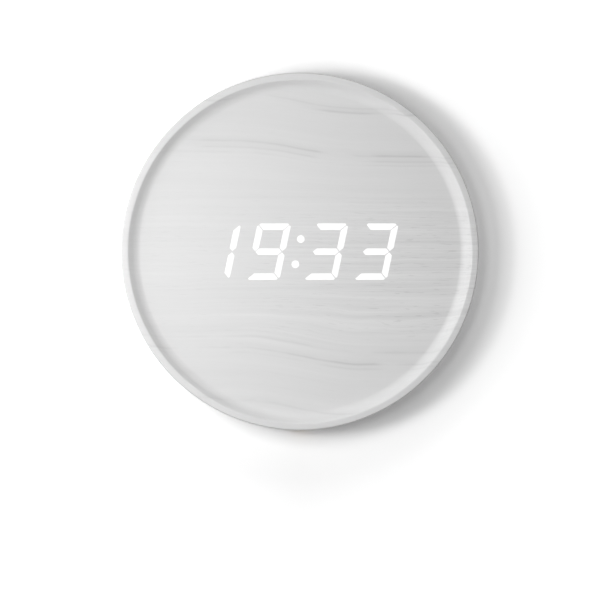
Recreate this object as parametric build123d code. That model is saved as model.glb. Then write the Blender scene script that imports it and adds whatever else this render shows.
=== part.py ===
from build123d import *

import math
import os

# A round LED alarm clock that hangs on a wall and is fed through a socket in its lower edge.
# It is modelled lying on its back: z is the height above the wall, +y is the top of the clock
# and +x is on the right as it is read. save() stands it up, with +Z up and the dial facing -Y.
# Sizes are in millimetres and degrees.

# Case: three glued fibreboard layers, back ring, face panel and rim ring, under one printed film
case_diameter = 290.0
case_depth = 30.0
film_thickness = 0.5
rim_width = 5.8
rim_outer_round = 1.0
rim_inner_round = 1.3
dial_recess = 8.0
dial_wall_angle = 57.0
dial_cove_radius = 8.0
panel_thickness = 5.0
rim_seat_depth = 2.0
rim_foot_width = 2.0
glue_gap = 0.1

# Seven-segment digits, two each side of a colon
digit_height = 45.8
digit_width = 27.4
digit_slant = 12.0
digit_pitch = 40.7
colon_to_digit = 23.3
segment_width = 5.2
segment_gap = 0.75
segment_corner_cut = 2.6
colon_dot_radius = 3.1
colon_dot_spacing = 20.5
colon_shift = 0.7
display_shift = -2.3

# Display block and its board
display_margin = 3.5
display_corner_round = 3.0
window_clearance = 0.3
diffuser_thickness = 0.5
flange_lip = 4.0
flange_ear = 7.5
board_thickness = 1.6
board_corner_round = 2.0
board_clearance = 1.5
component_clearance = 0.8
led_length = 3.5
led_width = 2.8
led_height = 0.8
led_spread = 9.0

# Screws, with plain shanks at the core of their thread in slightly wider pilot holes
screw_fit = 0.05
cross_slot_width = 0.7
cross_slot_share = 0.6
board_screw_radius = 1.1
board_screw_head_radius = 2.3
board_screw_head_height = 1.6
board_screw_crown_share = 0.7
board_screw_grip = 4.0
board_screw_inset = 6.5
cover_screw_radius = 1.15
cover_screw_head_radius = 2.7
cover_screw_length = 11.0
cover_screw_count = 6
hanger_screw_radius = 1.3
hanger_screw_head_radius = 2.4
hanger_screw_length = 9.0
screw_tip = 1.2

# Rear cover
cover_thickness = 2.5
cover_seat_width = 7.0
cover_clearance = 0.3
cover_edge_chamfer = 0.5
cover_rib_height = 1.0
cover_rib_width = 2.0
cover_border_width = 10.0
cover_field_depth = 0.6
label_field_length = 76.0
label_field_width = 40.0
label_field_depth = 0.4
label_field_round = 3.0
label_field_place = -46.0
sound_hole_radius = 1.0
sound_hole_pitch = 4.0
sound_hole_count = 6

# Push buttons and their switches
button_spacing = 20.0
button_row = 16.0
button_radius = 4.0
button_clearance = 0.2
button_setback = 0.5
button_edge_round = 0.6
button_neck_radius = 2.4
button_flange_radius = 5.3
button_flange_thickness = 1.0
button_flange_gap = 0.3
button_dish_radius = 8.0
button_dish_depth = 1.2
switch_size = 6.0
switch_body_height = 3.5
switch_height = 4.3
switch_foot_length = 1.2
switch_foot_width = 1.0
switch_foot_height = 0.3
plunger_radius = 1.75
plunger_clearance = 0.1
plunger_engagement = 0.9
plunger_bore_depth = 1.8

# Parts on the back of the display board, each with its place on the board
cell_place = (-60.0, 0.0)
cell_radius = 10.0
cell_thickness = 3.2
cell_clearance = 0.2
cell_holder_wall = 1.4
cell_holder_floor = 0.8
cell_holder_lip = 0.4
cell_clip_width = 5.0
cell_clip_thickness = 0.3
buzzer_place = (58.0, 8.0)
buzzer_radius = 6.0
buzzer_height = 5.2
buzzer_port_radius = 1.0
buzzer_port_depth = 1.5
controller_place = (6.0, -11.0)
driver_place = (-24.0, -11.0)
chip_length = 17.9
chip_width = 7.5
chip_height = 2.4
chip_leg_count = 14
chip_leg_pitch = 1.27
chip_leg_length = 1.4
chip_leg_width = 0.42
chip_leg_height = 1.0
crystal_place = (26.0, -11.0)
crystal_radius = 1.0
crystal_length = 6.0
crystal_lift = 0.05
capacitor_place = (40.0, -12.0)
capacitor_radius = 3.15
capacitor_height = 5.4
capacitor_base_size = 6.6
capacitor_base_height = 0.8
resistor_count = 14
resistor_pitch = 4.6
resistor_row = 3.0
resistor_length = 2.0
resistor_width = 1.25
resistor_height = 0.5

# Two-way lead between the boards
header_place = 14.0
header_width = 8.0
header_depth = 7.0
header_height = 5.0
header_wall = 0.6
plug_clearance = 0.1
plug_overhang = 1.5
lead_radius = 0.7
lead_pitch = 2.0
lead_straight_share = 0.3
lead_bend_share = 0.45

# Power board, its cradle and its socket
power_board_width = 24.0
power_board_gap = 3.0
power_screw_spacing = 18.0
socket_width = 8.94
socket_height = 3.26
socket_length = 7.35
socket_wall = 0.3
socket_base_depth = 2.0
socket_fit = 0.03
socket_overhang = 1.0
socket_setback = 1.5
tongue_width = 6.69
tongue_thickness = 0.7
tongue_setback = 1.0
channel_width = 14.0
channel_plug_height = 7.6

# Keyhole hanger let into the back ring
hanger_length = 40.0
hanger_width = 17.0
hanger_thickness = 1.2
hanger_corner_round = 4.0
hanger_clearance = 0.2
hanger_screw_spacing = 29.0
keyhole_entry_radius = 4.5
keyhole_slot_radius = 2.25
keyhole_travel = 6.0
keyhole_drop = 2.5
keyhole_pocket_margin = 0.4
keyhole_pocket_depth = 9.0

# Heights and radii that follow from the sizes above
case_radius = case_diameter / 2
rim_inner_radius = case_radius - rim_width
dial_height = case_depth - dial_recess
dial_slope = math.radians(dial_wall_angle)
dial_flat_radius = (
    rim_inner_radius - dial_recess / math.tan(dial_slope) - dial_cove_radius * math.tan(dial_slope / 2)
)
rim_seat_radius = dial_flat_radius - rim_foot_width
core_radius = case_radius - film_thickness
panel_top = dial_height - film_thickness
panel_bottom = panel_top - panel_thickness
diffuser_bottom = panel_top - diffuser_thickness
tallest_component = max(capacitor_height, buzzer_height, header_height, switch_height)
board_back = cover_thickness + component_clearance + tallest_component
board_front = board_back + board_thickness
slant = math.tan(math.radians(digit_slant))

row_half_length = colon_to_digit + digit_pitch + digit_width / 2 + slant * digit_height / 2
display_length = 2 * (row_half_length + display_margin)
display_width = digit_height + 2 * display_margin
board_length = display_length + 2 * flange_ear
board_width = display_width + 2 * flange_lip
pocket_radius = math.hypot(board_length / 2 + abs(display_shift), board_width / 2) + board_clearance
cover_seat_radius = pocket_radius + cover_seat_width

lead_height = board_back - header_height / 2
socket_axis = board_back - socket_height / 2
socket_mouth = socket_setback - pocket_radius
power_board_length = header_depth + power_board_gap + socket_length - socket_overhang
power_board_bottom = socket_mouth + socket_overhang
power_board_top = power_board_bottom + power_board_length
channel_top = socket_axis + channel_plug_height / 2
hanger_centre = (cover_seat_radius + case_radius) / 2

# Places that several pieces share
on_display = Pos(display_shift, 0, 0)
digit_centres = [side * (colon_to_digit + step * digit_pitch) for side in (-1, 1) for step in (0, 1)]
button_centres = {
    "set": -button_spacing,
    "up": 0.0,
    "down": button_spacing,
}
board_screw_places = [
    (x * (display_length + flange_ear) / 2, y * (board_width / 2 - board_screw_inset))
    for x in (-1, 1)
    for y in (-1, 1)
]
power_screw_places = [
    (side * power_screw_spacing / 2, (power_board_bottom + power_board_top) / 2) for side in (-1, 1)
]
cover_screw_circle = PolarLocations((pocket_radius + cover_seat_radius) / 2, cover_screw_count)
hanger_screw_places = [(side * hanger_screw_spacing / 2, hanger_centre) for side in (-1, 1)]
sound_hole_places = [Pos(*buzzer_place)] + [
    Pos(*buzzer_place) * spot for spot in PolarLocations(sound_hole_pitch, sound_hole_count)
]


def slab(outline, bottom, top):
    """A flat outline given thickness between two heights."""
    return extrude(Pos(0, 0, bottom) * outline, amount=top - bottom)


def turned(*points):
    """A solid turned about the z axis from (radius, height) points that start and end on it."""
    return revolve(Plane.XZ * make_face(Polyline(*points, close=True)), Axis.Z)


def copies(solid, places):
    """The same solid at each (x, y) place."""
    return [Pos(x, y, 0) * solid for x, y in places]


def save(node, *solids):
    """Stand a node's solids up and write them to one file."""
    standing = [Rot(90, 0, 0) * solid for solid in solids]
    export_step(standing[0] if len(standing) == 1 else Compound(standing), f"parts/{node}.step")


def tray(inset):
    """The case with its recessed dial, filled down to the wall and shrunk by inset all round."""
    outer = case_radius - inset
    rim_top = case_depth - inset
    dial_top = dial_height - inset
    film_left = film_thickness - inset

    def wall_radius(height):
        rise = height - case_depth + inset * math.cos(dial_slope)
        return rim_inner_radius + inset * math.sin(dial_slope) + rise / math.tan(dial_slope)

    outline = FilletPolyline(
        (0, 0),
        (outer, 0),
        (outer, rim_top),
        (wall_radius(rim_top), rim_top),
        (wall_radius(dial_top), dial_top),
        (0, dial_top),
        radius=(0, 0, rim_outer_round + film_left, rim_inner_round + film_left, dial_cove_radius + inset, 0),
        close=True,
    )
    return revolve(Plane.XZ * make_face(outline), Axis.Z)


def cross_slot(head_radius, bottom, top):
    """The cutter for the cross in a screw's head."""
    bar = Rectangle(2 * cross_slot_share * head_radius, cross_slot_width)
    return slab(bar + Rot(0, 0, 90) * bar, bottom, top)


def countersunk_screw(head_radius, shank_radius, length):
    """A flat-headed screw whose head lies at z = 0 and whose tip points up."""
    head_height = head_radius - shank_radius
    body = turned(
        (0, 0),
        (head_radius, 0),
        (shank_radius, head_height),
        (shank_radius, length - screw_tip),
        (0, length),
    )
    return body - cross_slot(head_radius, 0, head_height)


def pan_screw(bearing, top):
    """A board screw whose head bears at one height and whose tip reaches another."""
    head = bearing - board_screw_head_height
    body = turned(
        (0, head),
        (board_screw_head_radius * board_screw_crown_share, head),
        (board_screw_head_radius, head + board_screw_head_height / 2),
        (board_screw_head_radius, bearing),
        (board_screw_radius, bearing),
        (board_screw_radius, top - screw_tip),
        (0, top),
    )
    return body - cross_slot(board_screw_head_radius, head, head + board_screw_head_height / 2)


def countersink(head_radius, shank_radius, top):
    """The cutter for a flat-headed screw's seat and its hole up to a height."""
    hole = shank_radius + screw_fit
    rim = head_radius + screw_fit
    return turned((0, 0), (rim, 0), (hole, rim - hole), (hole, top), (0, top))


def segment_shapes():
    """Outline and lamp places of each of the seven segments of one digit, slanted."""
    side = digit_width / 2
    top = digit_height / 2
    bar = segment_width
    cut = segment_corner_cut
    gap = segment_gap / math.sqrt(2)
    top_bar = [
        ((cut + gap) / 2 - side, top - (cut - gap) / 2),
        (cut - side, top),
        (side - cut, top),
        (side - (cut + gap) / 2, top - (cut - gap) / 2),
        (side - bar - gap, top - bar),
        (bar + gap - side, top - bar),
    ]
    upper_right = [
        (side - (cut - gap) / 2, top - (cut + gap) / 2),
        (side - bar, top - bar - gap),
        (side - bar, bar / 2 + gap),
        (side - bar / 2, gap),
        (side, bar / 2 + gap),
        (side, top - cut),
    ]
    middle_bar = [
        (bar / 2 + gap - side, 0),
        (bar + gap - side, bar / 2),
        (side - bar - gap, bar / 2),
        (side - bar / 2 - gap, 0),
        (side - bar - gap, -bar / 2),
        (bar + gap - side, -bar / 2),
    ]
    flat_lamps = [(-led_spread / 2, 0), (led_spread / 2, 0)]
    tall_lamps = [(0, -led_spread / 2), (0, led_spread / 2)]
    upright = [(middle_bar, flat_lamps, (0, 0), 1, 1)]
    for up in (-1, 1):
        upright.append((top_bar, flat_lamps, (0, top - bar / 2), 1, up))
        for right in (-1, 1):
            upright.append((upper_right, tall_lamps, (side - bar / 2, top / 2), right, up))

    shapes = []
    for outline, lamps, (middle_x, middle_y), right, up in upright:
        corners = [(right * x + slant * up * y, up * y) for x, y in outline]
        spots = []
        for x, y in lamps:
            height = up * middle_y + y
            spots.append((right * middle_x + x + slant * height, height))
        shapes.append((corners, spots))
    return shapes


def display_outline(margin):
    """The display block's outline, grown by a margin."""
    return RectangleRounded(
        display_length + 2 * margin, display_width + 2 * margin, display_corner_round + margin
    )


def make_case():
    """The film and the three layers under it."""
    plug_channel = Pos(0, socket_mouth - case_radius / 2, 0) * slab(
        Rectangle(channel_width, case_radius), 0, channel_top
    )
    core = tray(film_thickness)
    save("wood_film", tray(0) - core - plug_channel)

    seat_height = panel_top - rim_seat_depth
    rim = core - slab(Circle(case_radius), 0, seat_height)
    save("rim_ring", rim - slab(Circle(rim_seat_radius), seat_height, panel_top))

    panel = slab(Circle(core_radius), panel_bottom, seat_height)
    panel += slab(Circle(rim_seat_radius - glue_gap), seat_height, panel_top)
    panel -= on_display * slab(display_outline(window_clearance), panel_bottom, panel_top)
    pilot = slab(Circle(board_screw_radius + screw_fit), panel_bottom, panel_bottom + board_screw_grip)
    panel -= [on_display * hole for hole in copies(pilot, board_screw_places)]
    panel -= copies(pilot, power_screw_places)
    save("face_panel", panel)

    ring = slab(Circle(core_radius) - Circle(pocket_radius), 0, panel_bottom)
    ring -= slab(Circle(cover_seat_radius), 0, cover_thickness)
    ring -= plug_channel
    pilot = slab(Circle(cover_screw_radius + screw_fit), 0, cover_screw_length + screw_fit)
    ring -= [spot * pilot for spot in cover_screw_circle]
    recess = RectangleRounded(
        hanger_length + 2 * hanger_clearance,
        hanger_width + 2 * hanger_clearance,
        hanger_corner_round + hanger_clearance,
    )
    ring -= Pos(0, hanger_centre, 0) * slab(recess, 0, hanger_thickness)
    ring -= slab(keyhole_pocket(), 0, keyhole_pocket_depth)
    pilot = slab(Circle(hanger_screw_radius + screw_fit), 0, hanger_screw_length + screw_fit)
    ring -= copies(pilot, hanger_screw_places)
    save("back_ring", ring)


def keyhole_pocket():
    """Outline of the hollow behind the keyhole, where the wall screw's head slides."""
    width = 2 * (keyhole_entry_radius + keyhole_pocket_margin)
    middle = hanger_centre - keyhole_drop + keyhole_travel / 2
    return Pos(0, middle, 0) * Rot(0, 0, 90) * SlotCenterToCenter(keyhole_travel, width)


def make_hanger():
    """The keyhole plate, flush with the back ring, and its two screws."""
    entry = hanger_centre - keyhole_drop
    plate = Pos(0, hanger_centre, 0) * slab(
        RectangleRounded(hanger_length, hanger_width, hanger_corner_round), 0, hanger_thickness
    )
    plate -= Pos(0, entry, 0) * slab(Circle(keyhole_entry_radius), 0, hanger_thickness)
    slot = Rot(0, 0, 90) * SlotCenterToCenter(keyhole_travel, 2 * keyhole_slot_radius)
    plate -= Pos(0, entry + keyhole_travel / 2, 0) * slab(slot, 0, hanger_thickness)
    seat = countersink(hanger_screw_head_radius, hanger_screw_radius, hanger_thickness)
    plate -= copies(seat, hanger_screw_places)
    save("hanger_plate", plate)
    screw = countersunk_screw(hanger_screw_head_radius, hanger_screw_radius, hanger_screw_length)
    save("hanger_screws", *copies(screw, hanger_screw_places))


def make_display():
    """The diffuser, the reflector with a cavity for each segment, the lamps and the board."""
    save("diffuser_sheet", on_display * slab(display_outline(0), diffuser_bottom, panel_top))

    board_outline = RectangleRounded(board_length, board_width, board_corner_round)
    reflector = slab(board_outline, board_front, panel_bottom)
    reflector += slab(display_outline(0), panel_bottom, diffuser_bottom)
    lamp_places = []
    cavities = []
    for centre in digit_centres:
        for corners, spots in segment_shapes():
            segment = make_face(Polyline(*corners, close=True))
            cavities.append(Pos(centre, 0, 0) * slab(segment, board_front, diffuser_bottom))
            lamp_places += [(centre + x, y) for x, y in spots]
    for side in (-1, 1):
        height = side * colon_dot_spacing / 2
        dot = slab(Circle(colon_dot_radius), board_front, diffuser_bottom)
        across = colon_shift + slant * height
        cavities.append(Pos(across, height, 0) * dot)
        lamp_places.append((across, height))
    screw_hole = slab(Circle(board_screw_radius + screw_fit), board_back, panel_bottom)
    reflector -= cavities + copies(screw_hole, board_screw_places)
    save("segment_reflector", on_display * reflector)

    lamp = slab(Rectangle(led_width, led_length), board_front, board_front + led_height)
    save("segment_leds", *[on_display * solid for solid in copies(lamp, lamp_places)])

    board = slab(board_outline, board_back, board_front) - copies(screw_hole, board_screw_places)
    save("display_board", on_display * board)
    screw = pan_screw(board_back, panel_bottom + board_screw_grip - screw_fit)
    save("display_board_screws", *[on_display * solid for solid in copies(screw, board_screw_places)])


def make_chip(node, place):
    """A chip with a row of legs along both long sides."""
    body = slab(Rectangle(chip_length, chip_width), board_back - chip_height, board_back)
    leg = slab(
        Rectangle(chip_leg_width, chip_width + 2 * chip_leg_length), board_back - chip_leg_height, board_back
    )
    first = -chip_leg_pitch * (chip_leg_count - 1) / 2
    legs = [Pos(first + chip_leg_pitch * step, 0, 0) * leg for step in range(chip_leg_count)]
    save(node, on_display * Pos(*place, 0) * (body + legs))


def make_board_parts():
    """The smaller parts soldered to the back of the display board."""
    make_chip("controller_chip", controller_place)
    make_chip("driver_chip", driver_place)

    crystal = Rot(0, 90, 0) * Cylinder(crystal_radius, crystal_length)
    crystal_height = board_back - crystal_radius - crystal_lift
    save("timing_crystal", on_display * Pos(*crystal_place, crystal_height) * crystal)

    resistor = slab(Rectangle(resistor_width, resistor_length), board_back - resistor_height, board_back)
    first = -resistor_pitch * (resistor_count - 1) / 2
    places = [(first + resistor_pitch * step, resistor_row) for step in range(resistor_count)]
    save("segment_resistors", *[on_display * solid for solid in copies(resistor, places)])

    can = slab(Circle(capacitor_radius), board_back - capacitor_height, board_back)
    can += slab(
        Rectangle(capacitor_base_size, capacitor_base_size), board_back - capacitor_base_height, board_back
    )
    save("supply_capacitor", on_display * Pos(*capacitor_place, 0) * can)

    buzzer = slab(Circle(buzzer_radius), board_back - buzzer_height, board_back)
    port_bottom = board_back - buzzer_height
    buzzer -= slab(Circle(buzzer_port_radius), port_bottom, port_bottom + buzzer_port_depth)
    save("buzzer", on_display * Pos(*buzzer_place, 0) * buzzer)


def make_backup_cell():
    """The coin cell that keeps the time, with its holder and spring clip."""
    inner = cell_radius + cell_clearance
    outer = inner + cell_holder_wall
    cell_top = board_back - cell_holder_floor
    cell_bottom = cell_top - cell_thickness
    holder_bottom = cell_bottom + cell_holder_lip
    holder = slab(Circle(outer), holder_bottom, board_back) - slab(Circle(inner), holder_bottom, cell_top)
    clip_bottom = cell_bottom - cell_clip_thickness
    clip_outer = outer + cell_clip_thickness + cell_clearance
    clip = slab(Rectangle(2 * clip_outer, cell_clip_width), clip_bottom, board_back)
    clip -= slab(Rectangle(2 * (outer + cell_clearance), cell_clip_width), cell_bottom, board_back)
    seat = on_display * Pos(*cell_place, 0)
    save("cell_holder", seat * holder)
    save("backup_cell", seat * slab(Circle(cell_radius), cell_bottom, cell_top))
    save("cell_clip", seat * clip)


def make_buttons():
    """Three push buttons, each with its switch body and the plunger that it presses."""
    body_back = board_back - switch_body_height
    plunger_back = board_back - switch_height
    feet = Rectangle(switch_size + 2 * switch_foot_length, switch_foot_width)
    foot_row = switch_size / 2 - switch_foot_width
    body = slab(Rectangle(switch_size, switch_size), body_back, board_back)
    body += [
        Pos(0, row, 0) * slab(feet, board_back - switch_foot_height, board_back)
        for row in (-foot_row, foot_row)
    ]
    body -= slab(Circle(plunger_radius + plunger_clearance), body_back, body_back + plunger_bore_depth)
    plunger = slab(Circle(plunger_radius), plunger_back, body_back + plunger_engagement)

    flange_back = cover_thickness + button_flange_gap
    flange_front = flange_back + button_flange_thickness
    cap = slab(Circle(button_radius), button_setback, flange_back)
    cap = fillet(cap.edges().group_by(Axis.Z)[0], button_edge_round)
    cap += slab(Circle(button_flange_radius), flange_back, flange_front)
    cap += slab(Circle(button_neck_radius), flange_front, plunger_back)
    for name, centre in button_centres.items():
        seat = on_display * Pos(centre, button_row, 0)
        save(f"{name}_switch_body", seat * body)
        save(f"{name}_switch_plunger", seat * plunger)
        save(f"{name}_button", seat * cap)


def make_header(node, plug_node, place):
    """A two-way header with its plug, its mouth at the given place and facing down."""
    inner_width = header_width - 2 * header_wall
    inner_depth = header_depth - header_wall
    bottom = board_back - header_height
    header = Pos(0, header_depth / 2, 0) * slab(Rectangle(header_width, header_depth), bottom, board_back)
    hollow = Rectangle(inner_width, inner_depth)
    header -= Pos(0, inner_depth / 2, 0) * slab(hollow, bottom + header_wall, board_back - header_wall)
    plug_width = inner_width - 2 * plug_clearance
    plug_length = inner_depth - plug_clearance + plug_overhang
    plug = Pos(0, plug_length / 2 - plug_overhang, 0) * slab(
        Rectangle(plug_width, plug_length),
        bottom + header_wall + plug_clearance,
        board_back - header_wall - plug_clearance,
    )
    save(node, place * header)
    save(plug_node, place * plug)


def make_leads():
    """The two wires that bring power to the display board, and a header and plug at each end."""
    start_x = header_place + display_shift
    start_y = -board_width / 2
    make_header("board_header", "board_plug", Pos(start_x, start_y, 0))
    make_header("power_header", "power_plug", Pos(0, power_board_top, 0) * Rot(0, 0, 180))

    start_y -= plug_overhang
    end_y = power_board_top + plug_overhang
    straight = lead_straight_share * (start_y - end_y)
    slope_run = start_y - end_y - 2 * straight
    turn = math.atan2(start_x, slope_run)
    bend = lead_bend_share * straight / math.tan(turn / 2)
    print(f"lead bend radius {bend:.1f} mm")
    for node, side in (("positive_lead", 1), ("negative_lead", -1)):
        offset = side * lead_pitch / 2
        path = FilletPolyline(
            (start_x + offset, start_y, lead_height),
            (start_x + offset, start_y - straight, lead_height),
            (offset, end_y + straight, lead_height),
            (offset, end_y, lead_height),
            radius=bend,
        )
        section = Plane(path @ 0, z_dir=path % 0) * Circle(lead_radius)
        save(node, sweep(section, path))


def make_power_inlet():
    """The power board on its cradle, and the socket that faces the plug channel."""
    centre = Pos(0, (power_board_bottom + power_board_top) / 2, 0)
    outline = RectangleRounded(power_board_width, power_board_length, board_corner_round)
    hole = slab(Circle(board_screw_radius + screw_fit), board_back, panel_bottom)
    holes = copies(hole, power_screw_places)
    save("power_board", centre * slab(outline, board_back, board_front) - holes)
    save("power_cradle", centre * slab(outline, board_front, panel_bottom) - holes)
    screw = pan_screw(board_back, panel_bottom + board_screw_grip - screw_fit)
    save("power_board_screws", *copies(screw, power_screw_places))

    mouth = Plane((0, socket_mouth, socket_axis), x_dir=(1, 0, 0), z_dir=(0, 1, 0))
    inner_width = socket_width - 2 * socket_wall
    inner_height = socket_height - 2 * socket_wall
    shell = slab(SlotOverall(socket_width, socket_height), 0, socket_length)
    shell -= slab(SlotOverall(inner_width, inner_height), 0, socket_length)
    base_front = socket_length - socket_base_depth
    tongue = slab(
        SlotOverall(inner_width - 2 * socket_fit, inner_height - 2 * socket_fit), base_front, socket_length
    )
    tongue += slab(Rectangle(tongue_width, tongue_thickness), tongue_setback, base_front)
    save("usb_socket_shell", mouth.location * shell)
    save("usb_socket_tongue", mouth.location * tongue)


def make_rear_cover():
    """The cover, its border flush with the back ring and its field and label place sunk, and its screws."""
    radius = cover_seat_radius - cover_clearance
    cover = slab(Circle(radius), 0, cover_thickness)
    cover = chamfer(cover.edges().group_by(Axis.Z)[0], cover_edge_chamfer)
    rib_outer = pocket_radius - cover_clearance
    rib = Circle(rib_outer) - Circle(rib_outer - cover_rib_width)
    cover += slab(rib, cover_thickness, cover_thickness + cover_rib_height)
    field = radius - cover_border_width
    floor = cover_field_depth
    cover -= turned((0, 0), (field, 0), (field - floor, floor), (0, floor))
    label = RectangleRounded(label_field_length, label_field_width, label_field_round)
    cover -= Pos(0, label_field_place, 0) * slab(label, floor, floor + label_field_depth)
    seat = countersink(cover_screw_head_radius, cover_screw_radius, cover_thickness)
    cover -= [spot * seat for spot in cover_screw_circle]

    hole_radius = button_radius + button_clearance
    well = turned((0, 0), (button_dish_radius, 0), (hole_radius, button_dish_depth), (0, button_dish_depth))
    well += slab(Circle(hole_radius), 0, cover_thickness)
    cover -= [on_display * Pos(x, button_row, 0) * well for x in button_centres.values()]
    sound_hole = slab(Circle(sound_hole_radius), 0, cover_thickness)
    cover -= [on_display * spot * sound_hole for spot in sound_hole_places]
    save("rear_cover", cover)

    screw = countersunk_screw(cover_screw_head_radius, cover_screw_radius, cover_screw_length)
    save("rear_cover_screws", *[spot * screw for spot in cover_screw_circle])


os.makedirs("parts", exist_ok=True)
make_case()
make_hanger()
make_display()
make_board_parts()
make_backup_cell()
make_buttons()
make_leads()
make_power_inlet()
make_rear_cover()
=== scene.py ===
"""Looks of a round wall-hung LED alarm clock, dressed around its CAD frame."""

import math

import bpy
from bpy.props import FloatProperty, FloatVectorProperty, IntProperty, PointerProperty
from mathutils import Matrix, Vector


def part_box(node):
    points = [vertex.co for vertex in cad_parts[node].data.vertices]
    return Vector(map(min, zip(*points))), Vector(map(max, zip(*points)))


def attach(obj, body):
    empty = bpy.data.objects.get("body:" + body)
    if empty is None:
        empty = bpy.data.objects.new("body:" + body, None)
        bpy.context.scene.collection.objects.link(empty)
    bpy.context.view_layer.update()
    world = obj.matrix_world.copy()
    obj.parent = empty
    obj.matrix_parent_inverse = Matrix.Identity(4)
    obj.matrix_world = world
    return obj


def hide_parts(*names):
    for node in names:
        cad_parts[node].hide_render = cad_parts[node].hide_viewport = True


bl_info = {
    "name": "Wall clock dresser",
    "version": (1, 0, 0),
    "blender": (4, 5, 0),
    "location": "View3D > Sidebar > Clock",
    "description": "Builds the film, lit digits and finishes of a round LED wall clock on its CAD frame",
    "category": "Object",
}

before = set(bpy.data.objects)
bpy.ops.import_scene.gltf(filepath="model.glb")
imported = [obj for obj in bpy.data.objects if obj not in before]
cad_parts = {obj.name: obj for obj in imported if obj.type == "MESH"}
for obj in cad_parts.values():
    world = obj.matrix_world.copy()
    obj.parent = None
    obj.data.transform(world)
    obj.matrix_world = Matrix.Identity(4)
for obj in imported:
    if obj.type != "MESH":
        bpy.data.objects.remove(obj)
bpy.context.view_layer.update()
film_low, film_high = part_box("wood_film")
cover_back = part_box("rear_cover")[1].y

MM = 0.001
BODY = "case"
BUTTONS = ("set", "up", "down")
# Attribute of the film's mesh that says where a point lies when the film is laid flat
FLAT_PLACE = "film_flat"
# Points that lie closer than this are joined
JOIN_DISTANCE = 0.001 * MM

# Facets on a round of the film's profile, on a segment's tip, round a colon dot and round a printed dot
PROFILE_STEPS = 12
TIP_STEPS = 4
COLON_STEPS = 48
MARK_STEPS = 40

# Height above the dial's middle and weight of the growth lines, at their left ends
GROWTH_LINES = (
    (0.1295, 0.45), (0.1255, 0.9), (0.0900, 1.0), (0.0850, 0.6), (0.0810, 0.35),
    (-0.069, 0.5), (-0.0785, 1.0), (-0.0825, 0.4), (-0.1215, 0.8),
)

# Place and side of each square lamp
LAMPS = {
    "key": ((-0.205, -0.436, 0.007), 0.2),
    "front": ((-0.312, -1.467, 0.011), 0.3),
    "side": ((-1.060, -1.061, 0.037), 0.3),
    "rake": ((-1.127, -0.410, 0.039), 0.8),
    "top": ((0.0, -0.518, 1.932), 1.6),
    "fill": ((1.449, -0.388, 0.0), 0.6),
    "low": ((0.0, -0.388, -1.449), 0.6),
    "back": ((-0.9, 2.0, 0.6), 1.0),
}

# Inputs of the geometry trees that are numbers, under the names of the settings that they come from
FILM_SIZES = (
    "Radius", "Depth", "Rim Width", "Dial Depth", "Wall Angle", "Cove Radius", "Outer Round", "Inner Round",
    "Notch Width", "Notch Depth",
)
DIGIT_SIZES = ("Height", "Width", "Bar", "Gap", "Corner Cut", "Tip Round", "Slant", "Proud")
COLON_SIZES = ("Dot Radius", "Dot Spacing", "Slant", "Proud")

# Segments of a digit, and those that are lit for each figure shown
SEGMENTS = ("Top", "Upper Left", "Upper Right", "Centre", "Lower Left", "Lower Right", "Bottom")
LIT = {
    "1": ("Upper Right", "Lower Right"),
    "3": ("Top", "Upper Right", "Centre", "Lower Right", "Bottom"),
    "9": ("Top", "Upper Left", "Upper Right", "Centre", "Lower Right", "Bottom"),
}


# Sizes and colours


def length(name, text, default):
    """A length in metres."""
    return FloatProperty(name=name, description=text, default=default, precision=5, unit="LENGTH")


def share(name, text, default, top=1.0):
    """A plain number from nought up to a top."""
    return FloatProperty(name=name, description=text, default=default, min=0.0, max=top)


def angle(name, text, degrees):
    """An angle, given in degrees."""
    return FloatProperty(name=name, description=text, default=math.radians(degrees), subtype="ANGLE")


def power(name, text, default):
    """The power of a lamp in watts."""
    return FloatProperty(name=name, description=text, default=default, unit="POWER")


def colour(name, text, default):
    """A colour in linear values."""
    return FloatVectorProperty(
        name=name, description=text, default=default, size=3, subtype="COLOR", min=0.0, max=1.0
    )


class CLOCK_PG_film(bpy.types.PropertyGroup):
    """The film pressed over dial, cove, rim and side."""

    radius: length("Radius", "Outer radius of the case", film_high.x)
    depth: length("Depth", "From the wall to the top of the rim", -film_low.y)
    thickness: length("Thickness", "Thickness of the film", -film_low.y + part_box("rim_ring")[0].y)
    rim_width: length("Rim width", "From the outside of the rim to the edge of its inner wall", 5.8 * MM)
    dial_depth: length("Dial depth", "How far the dial lies below the rim", 8.0 * MM)
    wall_angle: angle("Wall angle", "Slope of the wall inside the rim", 57.0)
    cove_radius: length("Cove radius", "Round between the wall and the dial", 8.0 * MM)
    outer_round: length("Outer round", "Round on the outside of the rim", 1.5 * MM)
    inner_round: length("Inner round", "Round on the inside of the rim", 1.8 * MM)
    notch_width: length("Notch width", "Width of the plug channel", 14.0 * MM)
    notch_depth: length("Notch depth", "Depth of the plug channel from the wall", 10.87 * MM)
    columns: IntProperty(name="Columns", description="Facets round the case", default=260, min=24)
    crease: angle("Crease", "Turn from which an edge is sharp", 30.0)


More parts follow.
